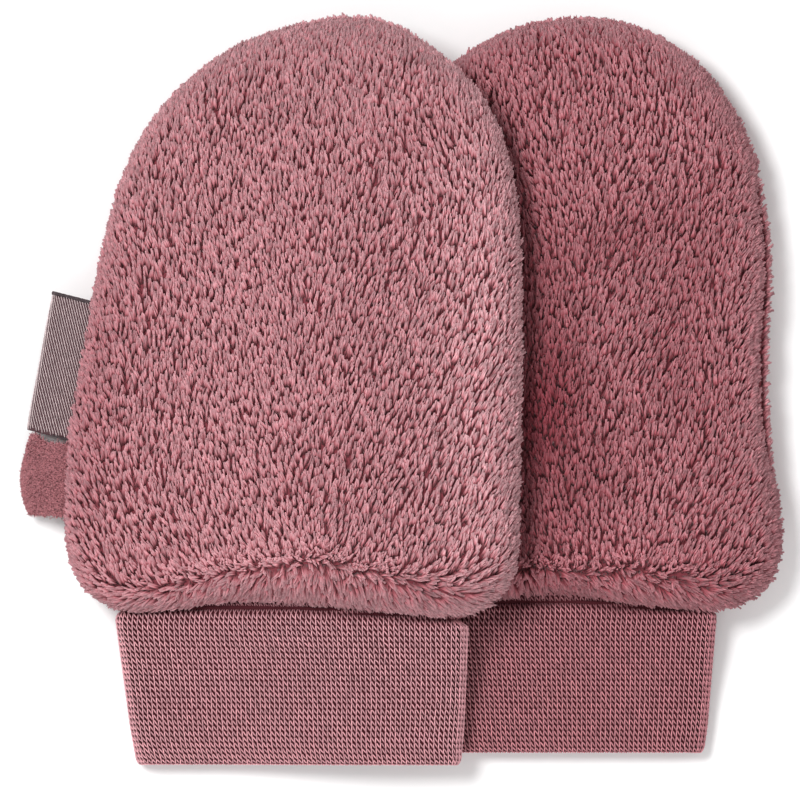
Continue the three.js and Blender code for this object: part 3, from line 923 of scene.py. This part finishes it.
def threads_piece(name, batches, material, node):
    """One piece from several batches of strands."""
    starts = np.cumsum([0] + [len(batch[0]) for batch in batches])
    vertices = np.concatenate([batch[0] for batch in batches])
    faces = np.concatenate([batch[1] + start for batch, start in zip(batches, starts)])
    piece = new_piece(name, vertices, faces, material)
    paint_value(piece, "along", np.concatenate([batch[2] for batch in batches]))
    paint_value(piece, "shade", np.concatenate([batch[3] for batch in batches]))
    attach(piece, "root")
    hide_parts(node)
    print(name, "triangles:", len(faces))
    return piece


# %% [markdown]
# A strand is painted paler where it bulges and deeper where it sinks into the holes and the seam's dip,
# as painted shade, and each one is a little different.

# %% Yarn material
def yarn_material(name, low, high, sheen):
    material, nodes, links, shader = cloth_material(name, 0.75, sheen)
    raised = nodes.new("ShaderNodeAttribute")
    raised.attribute_name = "along"
    # painted shade: the low colour goes on a strand's shaded parts, the high one on its bulging top
    ramp = nodes.new("ShaderNodeValToRGB")
    ramp.color_ramp.elements[0].color = linear(*low)
    ramp.color_ramp.elements[1].color = linear(*high)
    links.new(raised.outputs["Fac"], ramp.inputs["Fac"])
    links.new(shaded(nodes, links, ramp.outputs["Color"]), shader.inputs["Base Color"])
    return material


# %% [markdown]
# ## The knit of the cuffs
#
# Each stitch shows as two legs of yarn. In this knit the left leg stands straight and bright, and the
# right leg slants down to the next wale, with a dark hole under it.

# %% Knitted cuffs
KNIT = {"width": 0.15 * MM, "sunk": 0.42 * MM, "bulge": 0.3 * MM, "jitter": 0.035}
# Ends and middle of each leg: wales across, courses down, and how far the strand bulges, 0 to 1.
STRAIGHT_LEG = [(0.14, -0.06, 0.8), (0.11, 0.47, 1.0), (0.14, 1.0, 0.8)]
SLANTED_LEG = [(0.32, -0.04, 0.7), (0.64, 0.42, 1.0), (1.0, 0.88, 0.1)]
KNIT_THICK = 0.35 * MM
CLOTH_STEP = 4 * FINE  # points of the form from one corner of the cloth to the next
# The right cuff's colours are deeper than the left's: painted shade that darkens the right mitten.
YARN = {
    "left": yarn_material("knit_left", (114, 38, 49), (246, 188, 195), 0.1),
    "right": yarn_material("knit_right", (98, 34, 43), (230, 160, 168), 0.1),
}
# painted shade: this sheet's deep colour stands for the shade seen through the holes of the knit
SHADED_KNIT_GROUND = ground_material("knit_ground_painted_shade", (74, 24, 32))

for number, side in enumerate(("left", "right")):
    random = np.random.default_rng(31 + number)
    form = cuff_forms[side]
    across, down = np.meshgrid(np.arange(WALES[side]), np.arange(form["rows"]), indexing="ij")
    batches = []
    for leg in (STRAIGHT_LEG, SLANTED_LEG):
        batches.append(strands(form, across.ravel(), down.ravel(), leg, KNIT, random))
    stitches = threads_piece(f"{side}_cuff_stitches", batches, YARN[side], f"{side}_cuff")
    vertices, faces = folded_cloth(form, KNIT["sunk"], KNIT_THICK, CLOTH_STEP)
    cloth = new_piece(f"{side}_cuff_cloth", vertices, faces, SHADED_KNIT_GROUND)
    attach(cloth, "root")
    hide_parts(f"{side}_cuff")

# %% [markdown]
# ## The form of the label and the tab
#
# Both are short strips folded in two, with the fold outside and both ends sewn into the seam. Their
# solids give the heights: a line of sight is dropped on the solid from above, all round the fold, and
# from below. At the seam the strips run on into the pile, so that it covers their ends.

# %% The form of a strip
from mathutils import Vector
from mathutils.bvhtree import BVHTree

EDGE_CLEAR = 0.004  # how far inside the solid's ends the outermost sights lie, as a share of its length
SIGHT_FROM = 10 * MM
SEAM_MARGIN = 0.25 * MM  # how far out of the seam the outermost sights lie
INTO_SEAM = 1.4 * MM  # how far the cloth runs on into the pile at the seam


def along_rows(places, share):
    """Points at even shares along a line of places given in mm."""
    places = np.array(places) * MM
    shares = np.linspace(0, 1, len(places))
    return np.column_stack([np.interp(share, shares, places[:, k]) for k in range(2)])


def strip_form(node, fold, sewn, half, wale, pitch):
    """A grid over the outside of a folded strip: from its upper end, round the fold, to its lower end."""
    corners, rows = node_triangles(node)
    tree = BVHTree.FromPolygons(corners.tolist(), rows.tolist())
    length = np.linalg.norm(np.subtract(fold[-1], fold[0])) * MM
    wales = int(round(length / wale))
    share = np.linspace(EDGE_CLEAR, 1 - EDGE_CLEAR, wales * FINE + 1)
    folds, seams = along_rows(fold, share), along_rows(sewn, share)
    out = unit(folds - seams)
    seams = seams + out * SEAM_MARGIN
    inner = folds - out * half
    flat_steps = int(round(np.linalg.norm(inner - seams, axis=1).mean() / pitch))
    into_seam = [np.append(-out_way, 0) * INTO_SEAM for out_way in out]
    seam_steps = int(round(INTO_SEAM / pitch))
    turns = int(round(math.pi * half / pitch))

    def sight(start, way):
        hit = tree.ray_cast(Vector(start), Vector(way))[0]
        return np.array(hit) if hit else None

    grid = []
    for n in range(len(share)):
        column = []
        for i in range(flat_steps + 1):
            x, y = seams[n] + (inner[n] - seams[n]) * i / flat_steps
            upper = sight((x, y, 2 * SIGHT_FROM), (0, 0, -1))
            lower = sight((x, y, -SIGHT_FROM), (0, 0, 1))
            column.append((upper, lower))
        heart = (column[-1][0] + column[-1][1]) / 2
        round_fold = []
        for k in range(1, turns):
            turn = math.pi * k / turns
            way = np.array([out[n, 0] * math.sin(turn), out[n, 1] * math.sin(turn), math.cos(turn)])
            round_fold.append(sight(heart + way * SIGHT_FROM, -way))
        line = [c[0] for c in column] + round_fold + [c[1] for c in reversed(column)]
        tucked = [into_seam[n] * (k + 1) / seam_steps for k in range(seam_steps)]
        before = [line[0] + step for step in reversed(tucked)]
        after = [line[-1] + step for step in tucked]
        grid.append(before + line + after)
    points = np.array(grid).transpose(1, 0, 2)
    ahead = np.gradient(points, axis=1)
    onward = np.gradient(points, axis=0)
    looks = unit(np.cross(ahead, onward))
    if looks[0, 0, 2] < 0:
        looks = -looks
    print(node, "grid:", points.shape[:2], "wales:", wales)
    grids = {"points": points, "looks": looks, "dips": np.zeros(points.shape[:2] + (1,))}
    return grids | {"round": False, "rows": len(points) - 1, "wales": wales}


# %% [markdown]
# ## The woven label
#
# The label is woven in a fine twill: pale threads float over a dark ground, each row shifted against
# the last, so that slanting lines run over it. Its upper edge is a dark selvedge, and the lower one shows
# only next to the seam. The label is bare.

# %% Woven label
LABEL_FOLD = [(-62.44, -6.53), (-57.98, 16.78)]
LABEL_SEWN = [(-56.14, -8.1), (-52.08, 15.3)]
LABEL_HALF = 0.65 * MM
FLOAT_LENGTH = 1.03 * MM
ROW_PITCH = 0.2 * MM
TWILL = {"width": 0.075 * MM, "sunk": 0.12 * MM, "bulge": 0.1 * MM, "jitter": 0.03}
FLOAT_LEG = [(0.1, 0.2, 0.5), (0.4, 0.5, 1.0), (0.7, 0.8, 0.5)]
TWILL_SHIFT = 0.417
BINDING = {"width": 0.13 * MM, "sunk": 0.05 * MM, "bulge": 0.12 * MM, "jitter": 0.05}
BINDING_LEG = [(-0.55, 0.0, 0.4), (-0.28, 0.4, 1.0), (0.0, 0.8, 0.6)]
BINDING_PITCH = 0.8
LOWER_BINDING = 15  # rows from the seam
LOWER_EDGE = 0.22
LABEL_THICK = 0.3 * MM

label_form = strip_form("left_label", LABEL_FOLD, LABEL_SEWN, LABEL_HALF, FLOAT_LENGTH, ROW_PITCH)
random = np.random.default_rng(41)
across, down = np.meshgrid(np.arange(label_form["wales"]), np.arange(label_form["rows"]), indexing="ij")
shifted = across.ravel() + np.mod(down.ravel() * TWILL_SHIFT, 1)
floats = strands(label_form, shifted, down.ravel(), FLOAT_LEG, TWILL, random)
LABEL_YARN = yarn_material("label_thread", (132, 100, 104), (255, 238, 238), 0)
weave = threads_piece("left_label_weave", [floats], LABEL_YARN, "left_label")
down = np.arange(0, label_form["rows"], BINDING_PITCH)
lower = down[down < LOWER_BINDING]
upper_edge = np.full(len(down), float(label_form["wales"]))
lower_edge = np.full(len(lower), LOWER_EDGE)
bindings = [
    strands(label_form, upper_edge, down, BINDING_LEG, BINDING, random),
    strands(label_form, lower_edge, lower, BINDING_LEG, BINDING, random),
]
SELVEDGE_YARN = yarn_material("selvedge_thread", (34, 28, 30), (92, 80, 83), 0)
selvedges = threads_piece("left_label_selvedges", bindings, SELVEDGE_YARN, "left_label")
LABEL_GROUND = ground_material("label_ground", (88, 62, 66))
vertices, faces = folded_cloth(label_form, TWILL["sunk"], LABEL_THICK, FINE)
label = new_piece("left_label_cloth", vertices, faces, LABEL_GROUND)
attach(label, "root")
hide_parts("left_label")

# %% [markdown]
# ## The cloth tab
#
# The tab is a strip of the plush's own colour with a short even nap, like suede. Its cut ends are a
# little frayed. The nap is the same kind of hair as the pile, but short and in all directions.

# %% Cloth tab
TAB_FOLD = [(-62.28, -20.52), (-63.29, -17.5), (-63.57, -14.5), (-63.14, -11.54), (-61.94, -8.62)]
TAB_SEWN = [(-56.68, -20.8), (-56.24, -8.9)]
TAB_HALF = 1.25 * MM
TAB_GRID = 0.5 * MM
TAB_THICK = 0.7 * MM
NAP_SUNK = 0.3 * MM
NAP_RISE = 0.3 * MM
NAP_LEAN = 0.3 * MM
NAP_HALF = 0.08 * MM
NAP_SIZES = (0.5, 1.2)
NAP_SHADE = 0.25
NAP_HAIRS = 11000
NAP_WIDTH = 0.6  # how far the nap spills over the cut edges, in wales
CORNER_RISE = 1.3 * MM  # the outer top corner stands up in a point
# Where that point starts and over what share it rises, out from the seam and along the tab.
POINT_OUT = (0.5, 0.3)
POINT_ALONG = (0.75, 0.25)

tab_form = strip_form("left_tab", TAB_FOLD, TAB_SEWN, TAB_HALF, TAB_GRID, TAB_GRID)
ends = np.linspace(0, 1, tab_form["points"].shape[1])
from_seam = 1 - np.abs(np.linspace(-1, 1, tab_form["points"].shape[0]))
corner = smoothstep((from_seam - POINT_OUT[0]) / POINT_OUT[1])[:, None]
corner = corner * smoothstep((ends - POINT_ALONG[0]) / POINT_ALONG[1])
tab_form["points"][..., 1] += CORNER_RISE * corner
random = np.random.default_rng(43)
across = random.uniform(-NAP_WIDTH, tab_form["wales"] + NAP_WIDTH, NAP_HAIRS)
down = random.uniform(0, tab_form["rows"], NAP_HAIRS)
place, look, _ = on_form(tab_form, across, down)
lengthwise = unit(on_form(tab_form, across + 0.5, down)[0] - on_form(tab_form, across - 0.5, down)[0])
sideways = np.cross(look, lengthwise)
spill = np.where(across < 0, across, np.maximum(across - tab_form["wales"], 0)) * TAB_GRID
foot = place - look * NAP_SUNK
lean = random.normal(0, NAP_LEAN, (NAP_HAIRS, 2))
tip = foot + look * (NAP_RISE * random.uniform(*NAP_SIZES, NAP_HAIRS))[:, None]
tip = tip + lengthwise * (lean[:, 0] + spill)[:, None] + sideways * lean[:, 1:]
turn = random.uniform(0, np.pi, NAP_HAIRS)[:, None]
broad = NAP_HALF * (np.cos(turn) * lengthwise + np.sin(turn) * sideways)
deep = NAP_HALF * (np.cos(turn) * sideways - np.sin(turn) * lengthwise)
vertices, faces = four_sided(foot, tip, deep, broad)
NAP = pile_material("tab_nap", (124, 66, 73), (158, 96, 102), (206, 138, 144))
nap = new_piece("left_tab_nap", vertices, faces, NAP)
paint_value(nap, "along", np.tile([0, 0, 1, 1], NAP_HAIRS))
paint_value(nap, "shade", np.repeat((0.5 + random.normal(0, NAP_SHADE, NAP_HAIRS)).clip(0, 1), 4))
paint_value(nap, "tone", np.zeros(len(vertices)))
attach(nap, "root")
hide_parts("left_tab")
print(nap.name, "triangles:", len(faces))

TAB_GROUND = ground_material("tab_ground", (140, 84, 90))
vertices, faces = folded_cloth(tab_form, NAP_SUNK, TAB_THICK, FINE)
tab = new_piece("left_tab_cloth", vertices, faces, TAB_GROUND)
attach(tab, "root")
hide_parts("left_tab")
